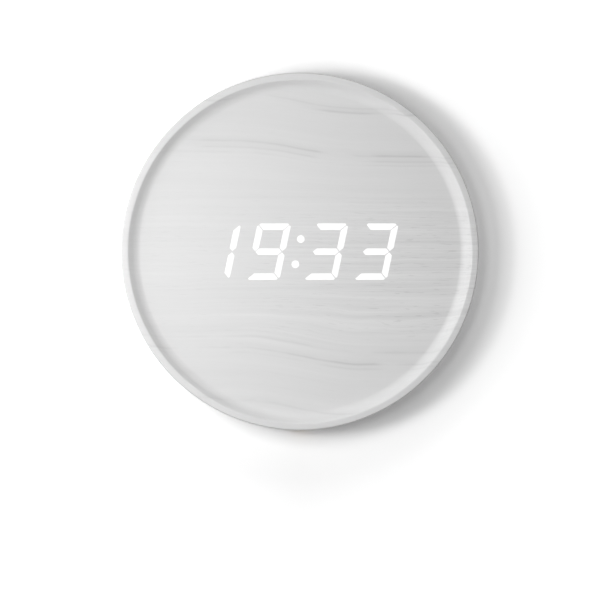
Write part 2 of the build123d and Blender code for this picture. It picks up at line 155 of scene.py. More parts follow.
class CLOCK_PG_print(bpy.types.PropertyGroup):
    """The birch grain printed on the film."""

    paper: colour("Paper", "Ground colour of the print", (0.80, 0.80, 0.80))
    grain: colour("Grain", "Colour of the printed grain", (0.61, 0.61, 0.61))
    fall: length("Fall", "How far the growth lines drop from left to right", 13.5 * MM)
    wander: length("Wander", "How far the lines stray up and down", 7.0 * MM)
    line_width: length("Line width", "From the middle of a growth line to its edge", 1.6 * MM)
    trail_width: length("Trail width", "Width of the shade above a growth line", 5.5 * MM)
    line_core: share("Line core", "Weight of a growth line itself", 0.8)
    line_trail: share("Line trail", "Weight of the shade above it", 0.45)
    ground: share("Ground", "Grain that lies everywhere", 0.22)
    lines: share("Lines", "Weight of the growth lines", 0.62)
    bands: share("Bands", "Weight of the wide bands", 0.26)
    bars: share("Bars", "Weight of the bars below the digits", 0.55)
    streaks: share("Streaks", "Weight of the fine streaks", 1.45, 2.0)
    pores: share("Pores", "Weight of the short pores", 0.42)
    relief: length("Relief", "How deep the grain is pressed in", 0.05 * MM)


class CLOCK_PG_digits(bpy.types.PropertyGroup):
    """The lit segments."""

    height: length("Height", "Height of a digit", 45.8 * MM)
    width: length("Width", "Width of a digit", 27.4 * MM)
    bar: length("Bar", "Width of a segment", 5.2 * MM)
    gap: length("Gap", "Gap between two segments", 0.75 * MM)
    corner_cut: length("Corner cut", "Cut at the corners of a digit", 2.6 * MM)
    tip_round: length("Tip round", "Round on the tips of a segment", 0.35 * MM)
    slant: angle("Slant", "Lean of the digits", 12.0)
    pitch: length("Pitch", "From one digit of a pair to the other", 40.7 * MM)
    colon_to_digit: length("Colon to digit", "From the colon to the next digit", 23.3 * MM)
    dot_radius: length("Dot radius", "Radius of a colon dot", 3.1 * MM)
    dot_spacing: length("Dot spacing", "From one dot of the colon to the other", 20.5 * MM)
    middle: length("Middle", "Place of the display's middle across the dial", -2.3 * MM)
    colon_shift: length("Colon shift", "From the display's middle to the colon", 0.7 * MM)
    proud: length("Proud", "How far the lit print stands out", 0.06 * MM)
    glow: colour("Glow", "Colour of the light", (1.0, 1.0, 1.0))
    strength: share("Strength", "Strength of the light", 1.0, 10.0)
    ground: share("Ground", "How much of the room's light the lit print gives back", 0.04)


class CLOCK_PG_back(bpy.types.PropertyGroup):
    """Finishes of the case and the back, and the marks printed there."""

    board_pale: colour("Pale fibre", "Lightest fibre in the board", (0.52, 0.39, 0.25))
    board_dark: colour("Dark fibre", "Darkest fibre in the board", (0.33, 0.23, 0.13))
    cover: colour("Cover", "Rear cover plastic", (0.72, 0.71, 0.69))
    button: colour("Button", "Push button plastic", (0.10, 0.10, 0.105))
    steel: colour("Steel", "Zinc plated steel", (0.34, 0.35, 0.365))
    nickel: colour("Nickel", "Nickel plated steel", (0.70, 0.68, 0.64))
    mark: colour("Mark", "Printed marks beside the buttons", (0.16, 0.16, 0.17))
    mark_size: length("Mark size", "Size of a printed mark", 4.2 * MM)
    mark_offset: length("Mark offset", "From a button to its mark", 12.5 * MM)
    mark_proud: length("Mark proud", "Thickness of the printed ink", 0.03 * MM)
    mark_foot: share("Mark foot", "How far a triangle's foot is from its middle, against its tip", 0.8)
    field_depth: length("Field depth", "How far the cover's field is sunk", 0.6 * MM)


class CLOCK_PG_inside(bpy.types.PropertyGroup):
    """Colours of the parts inside."""

    plunger: colour("Plunger", "Switch plungers", (0.03, 0.03, 0.03))
    can: colour("Can", "Drawn can of the capacitor", (0.72, 0.72, 0.73))
    mask: colour("Mask", "Solder mask of the boards", (0.02, 0.13, 0.06))
    track: colour("Track", "Solder mask over copper", (0.06, 0.26, 0.10))
    resin: colour("Resin", "Chips, resistors, buzzer and switches", (0.022, 0.022, 0.024))
    holder: colour("Holder", "Cell holder and the socket's tongue", (0.03, 0.03, 0.032))
    reflector: colour("Reflector", "White block behind the digits", (0.82, 0.82, 0.82))
    diffuser: colour("Diffuser", "Milky sheet behind the film", (0.85, 0.85, 0.85))
    lamp: colour("Lamp", "Phosphor of the unlit lamps", (0.85, 0.76, 0.36))
    nylon: colour("Nylon", "Connectors and the power board's cradle", (0.76, 0.72, 0.60))
    red: colour("Red", "Sleeve of the positive lead", (0.50, 0.02, 0.02))
    black: colour("Black", "Sleeve of the negative lead", (0.02, 0.02, 0.02))


class CLOCK_PG_stage(bpy.types.PropertyGroup):
    """Wall, lights and camera."""

    wall_gap: length("Wall gap", "From the back of the clock to the wall", 0.4 * MM)
    wall_size: length("Wall size", "Side of the wall", 1.5)
    frame_width: length("Frame width", "Width of the picture at the rim", 0.4860)
    frame_drop: length("Frame drop", "From the clock's middle down to the picture's middle", 0.0393)
    camera_distance: length("Camera distance", "From the rim to the camera", 2.2)
    sensor: FloatProperty(name="Sensor", description="Width of the sensor in millimetres", default=36.0)
    key_power: power("Key power", "Near lamp", 0.83)
    front_power: power("Front power", "Lamp by the camera", 2.25)
    side_power: power("Side power", "Lamp at the left", 3.95)
    rake_power: power("Rake power", "Lamp along the wall", 4.51)
    top_power: power("Top power", "Wide lamp above", 8.0)
    fill_power: power("Fill power", "Lamp at the right", 2.66)
    low_power: power("Low power", "Lamp below", 0.75)
    back_power: power("Back power", "Lamp behind the wall", 32.0)
    sky: share("Sky", "Light from all round", 0.14, 4.0)
    wall_white: share("Wall white", "Colour of the wall behind the clock", 1.28, 2.0)
    # Painted light: the wall's paint is made paler to the right and away from the clock, to make up for the
    # lamps' falloff there
    painted_light_slope: share("Wall slope", "How much paler the wall is for each metre to the right", 2.0, 4.0)
    slope_start: length("Slope start", "Where the wall starts to get paler, from the left", 0.0)
    slope_reach: length("Slope reach", "Where it stops getting paler", 0.15)
    painted_light_lift: share("Wall lift", "How much paler the wall is for each metre beyond the shadow", 3.0, 4.0)
    lift_start: length("Lift start", "From the clock's middle to where the wall gets paler", 0.185)
    lift_reach: length("Lift reach", "Over how far the wall gets paler", 0.25)


GROUPS = {
    "clock_film": CLOCK_PG_film,
    "clock_print": CLOCK_PG_print,
    "clock_digits": CLOCK_PG_digits,
    "clock_back": CLOCK_PG_back,
    "clock_inside": CLOCK_PG_inside,
    "clock_stage": CLOCK_PG_stage,
}


# Node trees written as Python expressions


class Wire:
    """An output of a node, which Python's operators turn into Math nodes."""

    def __init__(self, graph, socket):
        self.graph = graph
        self.socket = socket

    def output(self, name):
        """Another output of the same node."""
        return Wire(self.graph, self.socket.node.outputs[name])

    def __add__(self, other):
        return self.graph.maths("ADD", self, other)

    def __sub__(self, other):
        return self.graph.maths("SUBTRACT", self, other)

    def __rsub__(self, other):
        return self.graph.maths("SUBTRACT", other, self)

    def __mul__(self, other):
        return self.graph.maths("MULTIPLY", self, other)

    def __truediv__(self, other):
        return self.graph.maths("DIVIDE", self, other)

    def __rtruediv__(self, other):
        return self.graph.maths("DIVIDE", other, self)

    def __mod__(self, other):
        return self.graph.maths("MODULO", self, other)

    def __rmod__(self, other):
        return self.graph.maths("MODULO", other, self)

    def __neg__(self):
        return self * -1.0

    def __lt__(self, other):
        return self.graph.maths("LESS_THAN", self, other)

    def __gt__(self, other):
        return self.graph.maths("GREATER_THAN", self, other)

    __radd__ = __add__
    __rmul__ = __mul__


class Graph:
    """A node tree and the few ways in which it is filled."""

    def __init__(self, tree):
        self.tree = tree

    def add(self, kind, settings=None, inputs=None, output=0):
        """Add a node: first its settings, then the values or links of its sockets."""
        node = self.tree.nodes.new(kind)
        for key, value in (settings or {}).items():
            setattr(node, key, value)
        for key, value in (inputs or {}).items():
            self.feed(node.inputs[key], value)
        return Wire(self, node.outputs[output])

    def feed(self, socket, value):
        """Link a wire to a socket, or set the socket's own value."""
        if isinstance(value, Wire):
            self.tree.links.new(value.socket, socket)
        else:
            socket.default_value = value

    def maths(self, operation, *values):
        """One Math node."""
        return self.add("ShaderNodeMath", {"operation": operation}, dict(enumerate(values)))

    def vector(self, x=0.0, y=0.0, z=0.0):
        """A vector from three values."""
        return self.add("ShaderNodeCombineXYZ", None, {0: x, 1: y, 2: z})

    def split(self, vector):
        """The three values of a vector."""
        first = self.add("ShaderNodeSeparateXYZ", None, {0: vector})
        return first, first.output("Y"), first.output("Z")

    def mix(self, factor, first, second):
        """One colour blended into another."""
        return self.add("ShaderNodeMix", {"data_type": "RGBA"}, {0: factor, 6: first, 7: second}, 2)

    def ramp(self, value, low, high):
        """A smooth step from 0 at low to 1 at high."""
        settings = {"interpolation_type": "SMOOTHSTEP"}
        return self.add("ShaderNodeMapRange", settings, {0: value, 1: low, 2: high, 3: 0.0, 4: 1.0})

    def clamp(self, value, low, high):
        """A value kept between two others."""
        return self.maths("MAXIMUM", self.maths("MINIMUM", value, high), low)

    def between(self, low, high, factor):
        """The value from low at a factor of 0 to high at a factor of 1."""
        return low + (high - low) * factor

    def noise(self, vector, scale=1.0, detail=2.0, roughness=0.5):
        """Cloudy noise from 0 to 1, about a half."""
        inputs = {"Vector": vector, "Scale": scale, "Detail": detail, "Roughness": roughness}
        return self.add("ShaderNodeTexNoise", None, inputs)

    def streaky(self, across, up, along, over, seed=0.0, detail=2.0, roughness=0.5):
        """Noise with its own scale along the grain and over it."""
        return self.noise(self.vector(across * along, up * over, seed), 1.0, detail, roughness)

    def sockets(self, numbers, others):
        """The one output of a geometry tree and its named inputs, which come back as wires."""
        kinds = {**dict.fromkeys(numbers, "Float"), **others}
        self.tree.interface.new_socket("Geometry", in_out="OUTPUT", socket_type="NodeSocketGeometry")
        for name, kind in kinds.items():
            self.tree.interface.new_socket(name, in_out="INPUT", socket_type="NodeSocket" + kind)
        start = self.tree.nodes.new("NodeGroupInput")
        return {name: Wire(self, start.outputs[name]) for name in kinds}

    def join(self, parts):
        """Several geometries as one."""
        node = self.tree.nodes.new("GeometryNodeJoinGeometry")
        for part in parts:
            self.tree.links.new(part.socket, node.inputs[0])
        return Wire(self, node.outputs[0])

    def finish(self, geometry, material):
        """End a geometry tree in real faces with their material."""
        real = self.add("GeometryNodeRealizeInstances", None, {"Geometry": geometry})
        painted = self.add("GeometryNodeSetMaterial", None, {"Geometry": real, "Material": material})
        self.feed(self.tree.nodes.new("NodeGroupOutput").inputs["Geometry"], painted)

    def choose(self, index, kind, values):
        """The value that stands at an index."""
        node = self.tree.nodes.new("GeometryNodeIndexSwitch")
        node.data_type = kind
        while len(node.index_switch_items) < len(values):
            node.index_switch_items.new()
        self.feed(node.inputs[0], index)
        for place, value in enumerate(values, 1):
            self.feed(node.inputs[place], value)
        return Wire(self, node.outputs[0])

    def polyline(self, corners, rounds, steps, cyclic):
        """A curve through corners, with its own round at each of them."""
        index = self.add("GeometryNodeInputIndex")
        places = self.choose(index, "VECTOR", [self.vector(x, y) for x, y in corners])
        points = self.add("GeometryNodePoints", None, {"Count": len(corners), "Position": places})
        curve = self.add("GeometryNodePointsToCurves", None, {"Points": points})
        curve = self.add("GeometryNodeSetSplineCyclic", None, {"Geometry": curve, "Cyclic": cyclic})
        radius = self.choose(index, "FLOAT", rounds)
        inputs = {"Curve": curve, "Count": steps, "Radius": radius}
        return self.add("GeometryNodeFilletCurve", {"mode": "POLY"}, inputs)


def new_geometry(name):
    """An empty geometry tree."""
    return Graph(bpy.data.node_groups.new(name, "GeometryNodeTree"))


def sizes_of(look, names):
    """A group's settings under the names of a tree's inputs."""
    return {name: getattr(look, name.lower().replace(" ", "_")) for name in names}


def new_object(name, data):
    """An object in the scene."""
    piece = bpy.data.objects.new(name, data)
    bpy.context.scene.collection.objects.link(piece)
    return piece


def settle(piece):
    """Keep what a piece's modifiers make of it as its plain mesh."""
    evaluated = piece.evaluated_get(bpy.context.evaluated_depsgraph_get())
    mesh = bpy.data.meshes.new_from_object(evaluated)
    piece.modifiers.clear()
    piece.data = mesh
    mesh.name = piece.name


def grow(name, tree, values):
    """Run a geometry tree once and keep its result."""
    piece = new_object(name, bpy.data.meshes.new(name))
    modifier = piece.modifiers.new(name, "NODES")
    modifier.node_group = tree
    for item in tree.interface.items_tree:
        if item.in_out == "INPUT":
            modifier[item.identifier] = values[item.name]
    settle(piece)
    return piece


def smooth(piece, crease):
    """Shade a piece smoothly, with sharp edges where its faces turn by more than an angle."""
    piece.data.shade_smooth()
    piece.data.set_sharp_from_angle(angle=crease)


def place(piece, slot):
    """Let a finished piece move with the case; its slot is not used."""
    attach(piece, BODY)
    return piece


# Finishes


def new_finish(name, base=(0.8, 0.8, 0.8), **settings):
    """A material with a Principled shader, whose fixed values are set on its own sockets."""
    material = bpy.data.materials.get(name)
    if material:
        bpy.data.materials.remove(material)
    material = bpy.data.materials.new(name)
    material.use_nodes = True
    graph = Graph(material.node_tree)
    shader = material.node_tree.nodes["Principled BSDF"]
    shader.inputs["Base Color"].default_value = (*base, 1.0)
    for key, value in settings.items():
        shader.inputs[key.replace("_", " ").title()].default_value = value
    return material, graph, shader


def bump(graph, shader, height, distance, strength=1.0):
    """Raise a surface by a height that varies over it."""
    inputs = {"Strength": strength, "Distance": distance, "Height": height}
    graph.feed(shader.inputs["Normal"], graph.add("ShaderNodeBump", None, inputs))


def object_place(graph):
    """Where a point lies on the object, in metres."""
    return graph.add("ShaderNodeTexCoord", None, None, "Object")


def shade(tint, factor):
    """A colour made lighter or darker, as four values."""
    return (*[part * factor for part in tint], 1.0)


def growth_lines(graph, look, across, lane, to_right):
    """Dark lines with a shade above each, broken here and there and fainter at the left."""
    lines = 0.0
    for height, weight in GROWTH_LINES:
        rise = lane - height
        core = graph.ramp(graph.maths("ABSOLUTE", rise), low=look.line_width, high=0.0)
        trail = graph.ramp(rise, low=look.trail_width, high=0.0) * (rise > 0.0)
        lines = lines + (core * look.line_core + trail * look.line_trail) * weight
    patches = graph.streaky(across, lane, along=24.0, over=90.0, seed=4.4)
    return lines * graph.ramp(patches, low=0.32, high=0.60) * graph.between(0.55, 1.0, to_right)


def birch_film(look):
    """White birch print: growth lines that fall to the right, fine streaks and short pores."""
    material, graph, shader = new_finish("birch_film", roughness=0.52)
    flat = graph.add("ShaderNodeAttribute", {"attribute_name": FLAT_PLACE}, None, "Vector")
    across, up, _ = graph.split(flat)
    to_right = graph.ramp(across, low=-50.0 * MM, high=50.0 * MM)
    off_middle = graph.ramp(graph.maths("ABSOLUTE", up), low=30.0 * MM, high=80.0 * MM)
    wander = graph.streaky(across, up, along=9.0, over=14.0, seed=2.7, detail=3.0) - 0.5
    lane = up + to_right * off_middle * look.fall + wander * look.wander

    # The streaks gather behind the digits and at the right, and the bars below the digits
    digit_belt = graph.ramp(up, low=55.0 * MM, high=15.0 * MM)
    digit_belt = digit_belt * graph.ramp(up, low=-85.0 * MM, high=-50.0 * MM)
    thicker = graph.between(0.16, 1.0, graph.ramp(across, low=-70.0 * MM, high=110.0 * MM))
    busy = graph.between(0.10, 1.0, digit_belt * thicker)
    low_belt = graph.ramp(up, low=-30.0 * MM, high=-45.0 * MM)
    low_belt = low_belt * graph.ramp(up, low=-90.0 * MM, high=-65.0 * MM)
    low_belt = low_belt * graph.ramp(across, low=-90.0 * MM, high=-30.0 * MM)

    bands = graph.streaky(across, lane, along=3.5, over=110.0, seed=0.4) - 0.5
    bars = graph.streaky(across, lane, along=6.0, over=260.0, seed=7.7) - 0.5
    streaks = graph.streaky(across, lane, along=7.0, over=430.0, seed=5.2, detail=3.0, roughness=0.62) - 0.5
    specks = graph.streaky(across, lane, along=95.0, over=1050.0, seed=1.3, detail=1.0)
    pores = graph.ramp(specks, low=0.62, high=0.74) * (busy + 0.06)
    lines = growth_lines(graph, look, across, lane, to_right)
    grain = look.ground + bands * look.bands + bars * low_belt * look.bars + streaks * busy * look.streaks
    grain = graph.clamp(grain + pores * look.pores + lines * look.lines, 0.0, 1.0)
    graph.feed(shader.inputs["Base Color"], graph.mix(grain, (*look.paper, 1.0), (*look.grain, 1.0)))
    graph.feed(shader.inputs["Roughness"], graph.between(0.48, 0.62, grain))
    bump(graph, shader, -grain, look.relief)
    return material


def lit_print(look):
    """Film with a lamp behind it: even light with a trace of the grain, and little of the room's own."""
    material, graph, shader = new_finish(
        "lit_print", shade(look.glow, look.ground)[:3], roughness=0.6, emission_strength=look.strength
    )
    across, _, up = graph.split(object_place(graph))
    streaks = graph.streaky(across, up, along=16.0, over=620.0, seed=5.2)
    lighter = graph.ramp(streaks, low=0.35, high=0.65)
    tone = graph.mix(lighter, shade(look.glow, 0.96), (*look.glow, 1.0))
    graph.feed(shader.inputs["Emission Color"], tone)
    graph.feed(shader.inputs["Roughness"], graph.between(0.55, 0.65, streaks))
    return material


def fibreboard(look):
    """Raw pressed fibre: a felt of short pale and dark fibres, with a few coarse flecks."""
    material, graph, shader = new_finish("fibreboard", roughness=0.86)
    spot = object_place(graph)
    felt = graph.noise(spot, scale=1400.0, detail=4.0, roughness=0.7)
    fibres = graph.noise(spot, scale=420.0, detail=3.0, roughness=0.65)
    cloud = graph.noise(spot, scale=70.0)
    fleck = graph.ramp(graph.noise(spot, scale=520.0, detail=1.0), low=0.66, high=0.74)
    paler = graph.ramp(felt * 0.5 + fibres * 0.45 + cloud * 0.12, low=0.36, high=0.70)
    tone = graph.mix(paler, (*look.board_dark, 1.0), (*look.board_pale, 1.0))
    tone = graph.mix(fleck * 0.55, tone, shade(look.board_dark, 0.6))
    graph.feed(shader.inputs["Base Color"], tone)
    graph.feed(shader.inputs["Roughness"], graph.between(0.80, 0.94, felt))
    bump(graph, shader, felt - fleck * 0.6, 0.12 * MM)
    return material


def moulded(name, tint, rough, texture=3200.0, depth=0.05 * MM, clouds=0.06):
    """Moulded plastic with the fine spark texture of its tool and a little uneven colour."""
    material, graph, shader = new_finish(name, tint, roughness=rough)
    spot = object_place(graph)
    grain = graph.noise(spot, texture, roughness=0.6)
    cloud = graph.noise(spot, scale=38.0, detail=3.0)
    tone = graph.mix(cloud * 0.8 + grain * 0.2, shade(tint, 1.0 - clouds), shade(tint, 1.0 + clouds))
    graph.feed(shader.inputs["Base Color"], tone)
    graph.feed(shader.inputs["Roughness"], graph.between(rough - 0.05, rough + 0.05, cloud))
    bump(graph, shader, grain, depth)
    return material


def plated(name, tint, rough, spangle=260.0):
    """Plated sheet steel: soft spangle in its gloss and fine rolling lines."""
    material, graph, shader = new_finish(name, tint, metallic=1.0, roughness=rough)
    spot = object_place(graph)
    across, _, up = graph.split(spot)
    cells = graph.add("ShaderNodeTexVoronoi", None, {"Vector": spot, "Scale": spangle}, "Color")
    cell_tone, _, _ = graph.split(cells)
    lines = graph.streaky(across, up, along=90.0, over=4200.0)
    tone = graph.mix(cell_tone * 0.6 + lines * 0.4, shade(tint, 0.86), shade(tint, 1.06))
    graph.feed(shader.inputs["Base Color"], tone)
    graph.feed(shader.inputs["Roughness"], rough - 0.08 + cell_tone * 0.10 + lines * 0.08)
    bump(graph, shader, lines, 0.01 * MM)
    return material


def circuit_board(name, mask, track):
    """Solder mask over a faint run of tracks."""
    material, graph, shader = new_finish(name, mask, roughness=0.38)
    across, _, up = graph.split(object_place(graph))
    wander = graph.streaky(across, up, along=40.0, over=40.0, detail=1.0) * 3.0
    tracks = graph.ramp(graph.maths("SINE", up * 2400.0 + wander), low=0.55, high=0.75)
    mottle = graph.noise(graph.vector(across, up), scale=300.0)
    tone = graph.mix(tracks * 0.6 + mottle * 0.15, (*mask, 1.0), (*track, 1.0))
    graph.feed(shader.inputs["Base Color"], tone)
    graph.feed(shader.inputs["Roughness"], graph.between(0.30, 0.46, mottle))
    bump(graph, shader, tracks, 0.03 * MM)
    return material


def printed_ink(look):
    """Pad-printed ink with thin places."""
    material, graph, shader = new_finish("printed_ink", look.mark, roughness=0.6)
    thin = graph.noise(object_place(graph), scale=2600.0, detail=3.0)
    graph.feed(shader.inputs["Base Color"], graph.mix(thin, shade(look.mark, 0.8), shade(look.mark, 1.5)))
    graph.feed(shader.inputs["Roughness"], graph.between(0.5, 0.7, thin))
    return material


def dress(nodes, material):
    """Give CAD nodes a finish."""
    for node in nodes:
        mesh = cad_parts[node].data
        if not mesh.materials:
            mesh.materials.append(material)
        for index in range(len(mesh.materials)):
            mesh.materials[index] = material


# Geometry trees


def pressed_film_tree():
    """The film's outer face: a rounded profile turned round the case, with the plug notch left out."""
    graph = new_geometry("Pressed film")
    size = graph.sockets(FILM_SIZES, {"Columns": "Int", "Material": "Material"})
    radius, depth = size["Radius"], size["Depth"]
    rim_inner = radius - size["Rim Width"]
    dial = depth - size["Dial Depth"]
    wall_foot = rim_inner - size["Dial Depth"] / graph.maths("TANGENT", size["Wall Angle"])
    corners = [
        (radius, 0.0),
        (radius, size["Notch Depth"]),
        (radius, depth),
        (rim_inner, depth),
        (wall_foot, dial),
        (0.0, dial),
    ]
    rounds = [0.0, 0.0, size["Outer Round"], size["Inner Round"], size["Cove Radius"], 0.0]
    profile = graph.polyline(corners, rounds, steps=PROFILE_STEPS, cyclic=False)
    rows = graph.add("GeometryNodeAttributeDomainSize", {"component": "CURVE"}, {"Geometry": profile})
    run = graph.add("GeometryNodeSplineParameter").output("Length")
    whole = graph.add("GeometryNodeSplineLength")
    grid = graph.add("GeometryNodeMeshGrid", None, {
        "Size X": 1.0, "Size Y": 1.0, "Vertices X": size["Columns"] + 1.0, "Vertices Y": rows,
    })
    index = graph.add("GeometryNodeInputIndex")
    row = index % rows
    column = graph.maths("FLOOR", index / rows)

    def sampled(kind, value):
        inputs = {"Geometry": profile, "Value": value, "Index": row}
        return graph.add("GeometryNodeSampleIndex", {"data_type": kind, "domain": "POINT"}, inputs)

    out, height, _ = graph.split(sampled("FLOAT_VECTOR", graph.add("GeometryNodeInputPosition")))
    reach = sampled("FLOAT", whole - run)
    turn = column / size["Columns"] * math.tau - math.pi / 2
    cosine = graph.maths("COSINE", turn)
    sine = graph.maths("SINE", turn)
    named = {"data_type": "FLOAT_VECTOR", "domain": "POINT"}
    flat = graph.vector(reach * cosine, reach * sine)
    shell = graph.add("GeometryNodeStoreNamedAttribute", named, {
        "Geometry": grid, "Name": FLAT_PLACE, "Value": flat,
    })
    shell = graph.add("GeometryNodeSetPosition", None, {
        "Geometry": shell, "Position": graph.vector(out * cosine, -height, out * sine),
    })
    across, level, up = graph.split(graph.add("GeometryNodeInputPosition"))
    in_notch = (graph.maths("ABSOLUTE", across) < size["Notch Width"] / 2) * (up < 0.0)
    in_notch = in_notch * (level > -size["Notch Depth"])
    shell = graph.add("GeometryNodeDeleteGeometry", {"domain": "FACE"}, {
        "Geometry": shell, "Selection": in_notch,
    })
    shell = graph.add("GeometryNodeMergeByDistance", None, {"Geometry": shell, "Distance": JOIN_DISTANCE})
    graph.finish(shell, size["Material"])
    return graph.tree


def thick_outline(graph, curve, height):
    """A closed plate from an outline on the ground plane."""
    face = graph.add("GeometryNodeFillCurve", {"mode": "NGONS"}, {"Curve": curve})
    lid = graph.add("GeometryNodeExtrudeMesh", {"mode": "FACES"}, {
        "Mesh": face, "Offset Scale": height, "Individual": False,
    })
    floor = graph.add("GeometryNodeFlipFaces", None, {"Mesh": face})
    both = graph.join((floor, lid))
    return graph.add("GeometryNodeMergeByDistance", None, {"Geometry": both, "Distance": JOIN_DISTANCE})


def leaned(graph, across, up, size):
    """How far to the right a point comes when the digits lean."""
    return across + up * graph.maths("TANGENT", size["Slant"])


def stand_on_dial(graph, geometry, size, lean):
    """Stand flat work up on the dial, leaning to the right or square."""
    across, up, thick = graph.split(graph.add("GeometryNodeInputPosition"))
    if lean:
        across = leaned(graph, across, up, size)
    spot = graph.vector(across + size["Middle"], size["Dial"] - thick, up)
    return graph.add("GeometryNodeSetPosition", None, {"Geometry": geometry, "Position": spot})


def digit_tree():
    """One seven-segment digit, of which only the lit segments are made."""
    graph = new_geometry("Lit digit")
    numbers = (*DIGIT_SIZES, "Middle", "Dial")
    size = graph.sockets(numbers, {**dict.fromkeys(SEGMENTS, "Bool"), "Material": "Material"})
    side = size["Width"] / 2
    top = size["Height"] / 2
    bar = size["Bar"]
    half = bar / 2
    gap = size["Gap"] / math.sqrt(2)
    cut = size["Corner Cut"]
    near = (cut - gap) / 2
    far = (cut + gap) / 2
    inner = side - bar
    level = [
        (far - side, top - near), (cut - side, top), (side - cut, top), (side - far, top - near),
        (inner - gap, top - bar), (gap - inner, top - bar),
    ]
    upright = [
        (side - near, top - far), (inner, top - bar - gap), (inner, half + gap),
        (side - half, gap), (side, half + gap), (side, top - cut),
    ]
    middle = [
        (half + gap - side, 0.0), (gap - inner, half), (inner - gap, half),
        (side - half - gap, 0.0), (inner - gap, -half), (gap - inner, -half),
    ]
    shapes = {
        "Top": (level, 1, 1), "Bottom": (level, 1, -1), "Centre": (middle, 1, 1),
        "Upper Right": (upright, 1, 1), "Upper Left": (upright, -1, 1),
        "Lower Right": (upright, 1, -1), "Lower Left": (upright, -1, -1),
    }
    shown = []
    for name, (outline, right, up) in shapes.items():
        corners = [(x * right, y * up) for x, y in outline]
        rounds = [size["Tip Round"]] * len(corners)
        curve = graph.polyline(corners, rounds, steps=TIP_STEPS, cyclic=True)
        plate = thick_outline(graph, curve, size["Proud"])
        inputs = {"Switch": size[name], "True": plate}
        shown.append(graph.add("GeometryNodeSwitch", {"input_type": "GEOMETRY"}, inputs))
    graph.finish(stand_on_dial(graph, graph.join(shown), size, lean=True), size["Material"])
    return graph.tree


def colon_tree():
    """The two round dots between hours and minutes."""
    graph = new_geometry("Lit colon")
    size = graph.sockets((*COLON_SIZES, "Middle", "Dial"), {"Material": "Material"})
    ring = graph.add("GeometryNodeCurvePrimitiveCircle", None, {
        "Resolution": COLON_STEPS, "Radius": size["Dot Radius"],
    })
    dot = thick_outline(graph, ring, size["Proud"])
    height = (graph.add("GeometryNodeInputIndex") - 0.5) * size["Dot Spacing"]
    places = graph.add("GeometryNodePoints", None, {
        "Count": 2, "Position": graph.vector(leaned(graph, 0.0, height, size), height),
    })
    dots = graph.add("GeometryNodeInstanceOnPoints", None, {"Points": places, "Instance": dot})
    dots = graph.add("GeometryNodeRealizeInstances", None, {"Geometry": dots})
    graph.finish(stand_on_dial(graph, dots, size, lean=False), size["Material"])
    return graph.tree


# Operators, one for each group of pieces


class CLOCK_OT_film(bpy.types.Operator):
    """Press the printed film over the case"""

    bl_idname = "clock.film"
    bl_label = "Film"

    def execute(self, context):
        look = context.scene.clock_film
        material = birch_film(context.scene.clock_print)
        film = grow("birch_film", pressed_film_tree(), {
            **sizes_of(look, FILM_SIZES), "Columns": look.columns, "Material": material,
        })
        backing = film.modifiers.new("Backing", "SOLIDIFY")
        backing.thickness = look.thickness
        backing.offset = -1.0
        backing.use_even_offset = True
        settle(film)
        smooth(film, look.crease)
        place(film, "birch_film")
        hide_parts("wood_film")
        return {"FINISHED"}


class CLOCK_OT_digits(bpy.types.Operator):
    """Light the digits and the colon"""

    bl_idname = "clock.digits"
    bl_label = "Digits"

    def execute(self, context):
        look = context.scene.clock_digits
        film = context.scene.clock_film
        shared = {"Dial": film.dial_depth - film.depth, "Material": lit_print(look)}
        tree = digit_tree()
        near = look.colon_to_digit
        far = near + look.pitch
        shown = {
            "lit_hour_tens": ("1", -far), "lit_hour_units": ("9", -near),
            "lit_minute_tens": ("3", near), "lit_minute_units": ("3", far),
        }
        for name, (figure, offset) in shown.items():
            lit = {segment: segment in LIT[figure] for segment in SEGMENTS}
            digit = grow(name, tree, {
                **sizes_of(look, DIGIT_SIZES), "Middle": look.middle + offset, **lit, **shared,
            })
            place(digit, "lamp_resin")
        colon = grow("lit_colon", colon_tree(), {
            **sizes_of(look, COLON_SIZES), "Middle": look.middle + look.colon_shift, **shared,
        })
        place(colon, "lamp_resin")
        return {"FINISHED"}


class CLOCK_OT_case(bpy.types.Operator):
    """Finish the fibreboard layers and the rear cover"""

    bl_idname = "clock.case"
    bl_label = "Case"

    def execute(self, context):
        look = context.scene.clock_back
        dress(("back_ring", "face_panel", "rim_ring"), fibreboard(look))
        dress(("rear_cover",), moulded("cover_plastic", look.cover, rough=0.55))
        return {"FINISHED"}


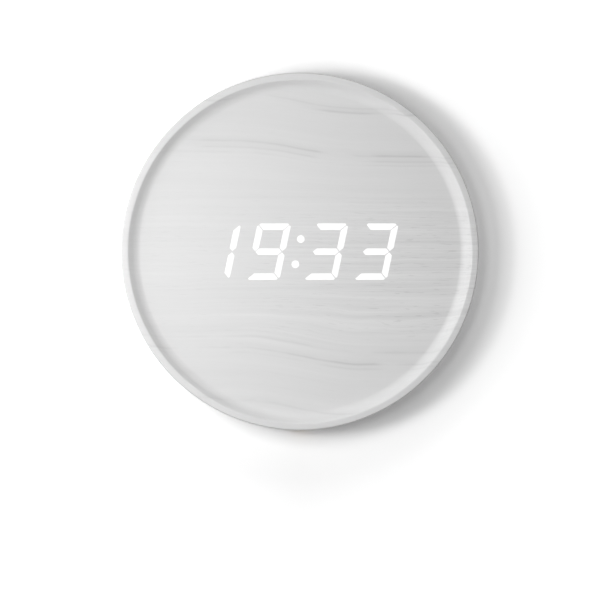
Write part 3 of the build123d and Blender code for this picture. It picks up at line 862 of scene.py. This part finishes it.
class CLOCK_OT_buttons(bpy.types.Operator):
    """Finish the push buttons and print a mark above each"""

    bl_idname = "clock.buttons"
    bl_label = "Buttons"

    def execute(self, context):
        look = context.scene.clock_back
        caps = moulded("button_plastic", look.button, rough=0.42, texture=2200.0, depth=0.03 * MM)
        dress([f"{name}_button" for name in BUTTONS], caps)
        plungers = moulded("plunger_plastic", context.scene.clock_inside.plunger, rough=0.5)
        dress([f"{name}_switch_plunger" for name in BUTTONS], plungers)
        ink = printed_ink(look)
        for name in BUTTONS:
            low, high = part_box(f"{name}_button")
            centre = (low + high) / 2
            outline = self.mark_outline(name, look)
            mark = self.printed(f"{name}_mark", outline, centre.x, centre.z + look.mark_offset, look)
            mark.data.materials.append(ink)
            place(mark, "button_plastic")
        return {"FINISHED"}

    def mark_outline(self, name, look):
        """Corners of a mark: a ring of points for set, a triangle for up and down."""
        half = look.mark_size / 2
        if name == "set":
            turns = [math.tau * step / MARK_STEPS for step in range(MARK_STEPS)]
            return [(half * math.cos(turn), half * math.sin(turn)) for turn in turns]
        tip = half if name == "up" else -half
        foot = -tip * look.mark_foot
        return [(-tip, foot), (tip, foot), (0.0, tip)]

    def printed(self, name, outline, across, up, look):
        """A flat mark on the field of the rear cover."""
        mesh = bpy.data.meshes.new(name)
        count = len(outline)
        field = cover_back - look.field_depth
        levels = (field, field + look.mark_proud)
        corners = [(across + x, level, up + z) for level in levels for x, z in outline]
        floor = list(range(count))
        lid = [corner + count for corner in reversed(floor)]
        sides = [(after, at, at + count, after + count) for at, after in zip(floor, floor[1:] + floor[:1])]
        mesh.from_pydata(corners, [], [floor, lid, *sides])
        return new_object(name, mesh)


class CLOCK_OT_metalwork(bpy.types.Operator):
    """Finish the hanger, the screws and the socket"""

    bl_idname = "clock.metalwork"
    bl_label = "Metalwork"

    def execute(self, context):
        look = context.scene.clock_back
        dress(("hanger_plate",), plated("zinc_plate", look.steel, rough=0.44))
        screws = ("hanger_screws", "rear_cover_screws", "display_board_screws", "power_board_screws")
        dress(screws, plated("zinc_screw", look.steel, rough=0.36, spangle=900.0))
        bright = plated("nickel_shell", look.nickel, rough=0.26, spangle=700.0)
        dress(("usb_socket_shell", "timing_crystal", "backup_cell", "cell_clip"), bright)
        can = plated("drawn_can", context.scene.clock_inside.can, rough=0.34, spangle=500.0)
        dress(("supply_capacitor",), can)
        return {"FINISHED"}


class CLOCK_OT_electronics(bpy.types.Operator):
    """Finish the boards, the lamps and the wiring"""

    bl_idname = "clock.electronics"
    bl_label = "Electronics"

    def execute(self, context):
        look = context.scene.clock_inside
        dress(("display_board", "power_board"), circuit_board("solder_mask", look.mask, look.track))
        chips = moulded("chip_resin", look.resin, rough=0.55, texture=4200.0)
        switches = [f"{name}_switch_body" for name in BUTTONS]
        dress(["controller_chip", "driver_chip", "segment_resistors", "buzzer", *switches], chips)
        dress(("cell_holder", "usb_socket_tongue"), moulded("black_nylon", look.holder, rough=0.45))
        dress(("segment_reflector",), moulded("reflector_plastic", look.reflector, rough=0.6))
        milky = moulded("diffuser_film", look.diffuser, rough=0.7, texture=6000.0, depth=0.01 * MM)
        dress(("diffuser_sheet",), milky)
        dress(("segment_leds",), moulded("lamp_resin", look.lamp, rough=0.3))
        ivory = moulded("natural_nylon", look.nylon, rough=0.5)
        dress(("board_header", "board_plug", "power_header", "power_plug", "power_cradle"), ivory)
        dress(("positive_lead",), moulded("red_sleeve", look.red, rough=0.4))
        dress(("negative_lead",), moulded("black_sleeve", look.black, rough=0.4))
        return {"FINISHED"}


class CLOCK_OT_stage(bpy.types.Operator):
    """Set up the wall, the lights and the camera"""

    bl_idname = "clock.stage"
    bl_label = "Stage"

    def execute(self, context):
        look = context.scene.clock_stage
        context.scene.view_settings.view_transform = "Standard"
        self.wall(look)
        self.sky(context.scene, look)
        for name, (spot, side) in LAMPS.items():
            self.lamp(name, spot, side, getattr(look, f"{name}_power"))
        self.camera(context.scene, look)
        return {"FINISHED"}

    def wall(self, look):
        """A white wall that is seen from its front only and throws nothing back. Its paint is paler to the
        right and away from the clock: painted light that makes up for the lamps' falloff.
        """
        mesh = bpy.data.meshes.new("wall")
        half = look.wall_size / 2
        level = cover_back + look.wall_gap
        corners = [(-half, level, -half), (half, level, -half), (half, level, half), (-half, level, half)]
        mesh.from_pydata(corners, [], [(0, 1, 2, 3)])
        wall = new_object("wall", mesh)
        material = bpy.data.materials.new("wall_paint")
        material.use_nodes = True
        nodes = material.node_tree.nodes
        nodes.clear()
        graph = Graph(material.node_tree)
        spot = object_place(graph)
        across, _, _ = graph.split(spot)
        # Painted light: the paint gets paler towards the right and beyond the shadow, where the lamps'
        # light falls off
        right = graph.clamp(across, look.slope_start, look.slope_reach)
        from_middle = graph.add("ShaderNodeVectorMath", {"operation": "LENGTH"}, {0: spot}, "Value")
        away = graph.clamp(from_middle - look.lift_start, 0.0, look.lift_reach)
        white = (look.wall_white + right * look.painted_light_slope) * (1.0 + away * look.painted_light_lift)
        paint = graph.add("ShaderNodeBsdfDiffuse", None, {"Color": graph.vector(white, white, white)})
        clear = graph.add("ShaderNodeBsdfTransparent")
        behind = graph.add("ShaderNodeNewGeometry", None, None, "Backfacing")
        mixed = graph.add("ShaderNodeMixShader", None, {0: behind, 1: paint, 2: clear})
        graph.feed(nodes.new("ShaderNodeOutputMaterial").inputs["Surface"], mixed)
        mesh.materials.append(material)
        wall.visible_diffuse = False
        wall.visible_glossy = False
        wall.visible_transmission = False
        wall.visible_shadow = False

    def sky(self, scene, look):
        """Even light all round, which the camera sees as white."""
        world = bpy.data.worlds.new("sky")
        scene.world = world
        world.use_nodes = True
        graph = Graph(world.node_tree)
        ray = graph.add("ShaderNodeLightPath")
        seen = graph.maths("MAXIMUM", ray.output("Is Camera Ray"), ray.output("Is Glossy Ray"))
        seen = graph.maths("MAXIMUM", seen, ray.output("Is Transmission Ray"))
        ground = world.node_tree.nodes["Background"]
        ground.inputs["Color"].default_value = (1.0, 1.0, 1.0, 1.0)
        graph.feed(ground.inputs["Strength"], graph.between(look.sky, 1.0, seen))

    def lamp(self, name, spot, side, watts):
        """A square soft lamp aimed at the clock."""
        data = bpy.data.lights.new(name, "AREA")
        data.size = side
        data.energy = watts
        lamp = new_object(name, data)
        lamp.visible_camera = False
        lamp.location = spot
        lamp.rotation_euler = (-Vector(spot)).to_track_quat("-Z", "Y").to_euler()

    def camera(self, scene, look):
        """A long lens, level and square to the wall."""
        data = bpy.data.cameras.new("camera")
        data.sensor_width = look.sensor
        data.lens = look.sensor * look.camera_distance / look.frame_width
        camera = new_object("camera", data)
        camera.location = (0.0, film_low.y - look.camera_distance, -look.frame_drop)
        camera.rotation_euler = (math.pi / 2, 0.0, 0.0)
        scene.camera = camera


OPERATORS = (
    CLOCK_OT_film,
    CLOCK_OT_digits,
    CLOCK_OT_case,
    CLOCK_OT_buttons,
    CLOCK_OT_metalwork,
    CLOCK_OT_electronics,
    CLOCK_OT_stage,
)


class CLOCK_PT_panel(bpy.types.Panel):
    """Lists the steps that dress the clock"""

    bl_idname = "CLOCK_PT_panel"
    bl_label = "Wall clock"
    bl_space_type = "VIEW_3D"
    bl_region_type = "UI"
    bl_category = "Clock"

    def draw(self, context):
        for operator in OPERATORS:
            self.layout.operator(operator.bl_idname)


def register():
    """Add the classes and the scene's settings."""
    for name, group in GROUPS.items():
        bpy.utils.register_class(group)
        setattr(bpy.types.Scene, name, PointerProperty(type=group))
    for operator in OPERATORS:
        bpy.utils.register_class(operator)
    bpy.utils.register_class(CLOCK_PT_panel)


def unregister():
    """Take the classes and the settings away again."""
    bpy.utils.unregister_class(CLOCK_PT_panel)
    for operator in OPERATORS:
        bpy.utils.unregister_class(operator)
    for name, group in GROUPS.items():
        delattr(bpy.types.Scene, name)
        bpy.utils.unregister_class(group)


def main():
    """Dress the clock."""
    register()
    for operator in OPERATORS:
        group, name = operator.bl_idname.split(".")
        getattr(getattr(bpy.ops, group), name)()


if __name__ == "__main__":
    main()
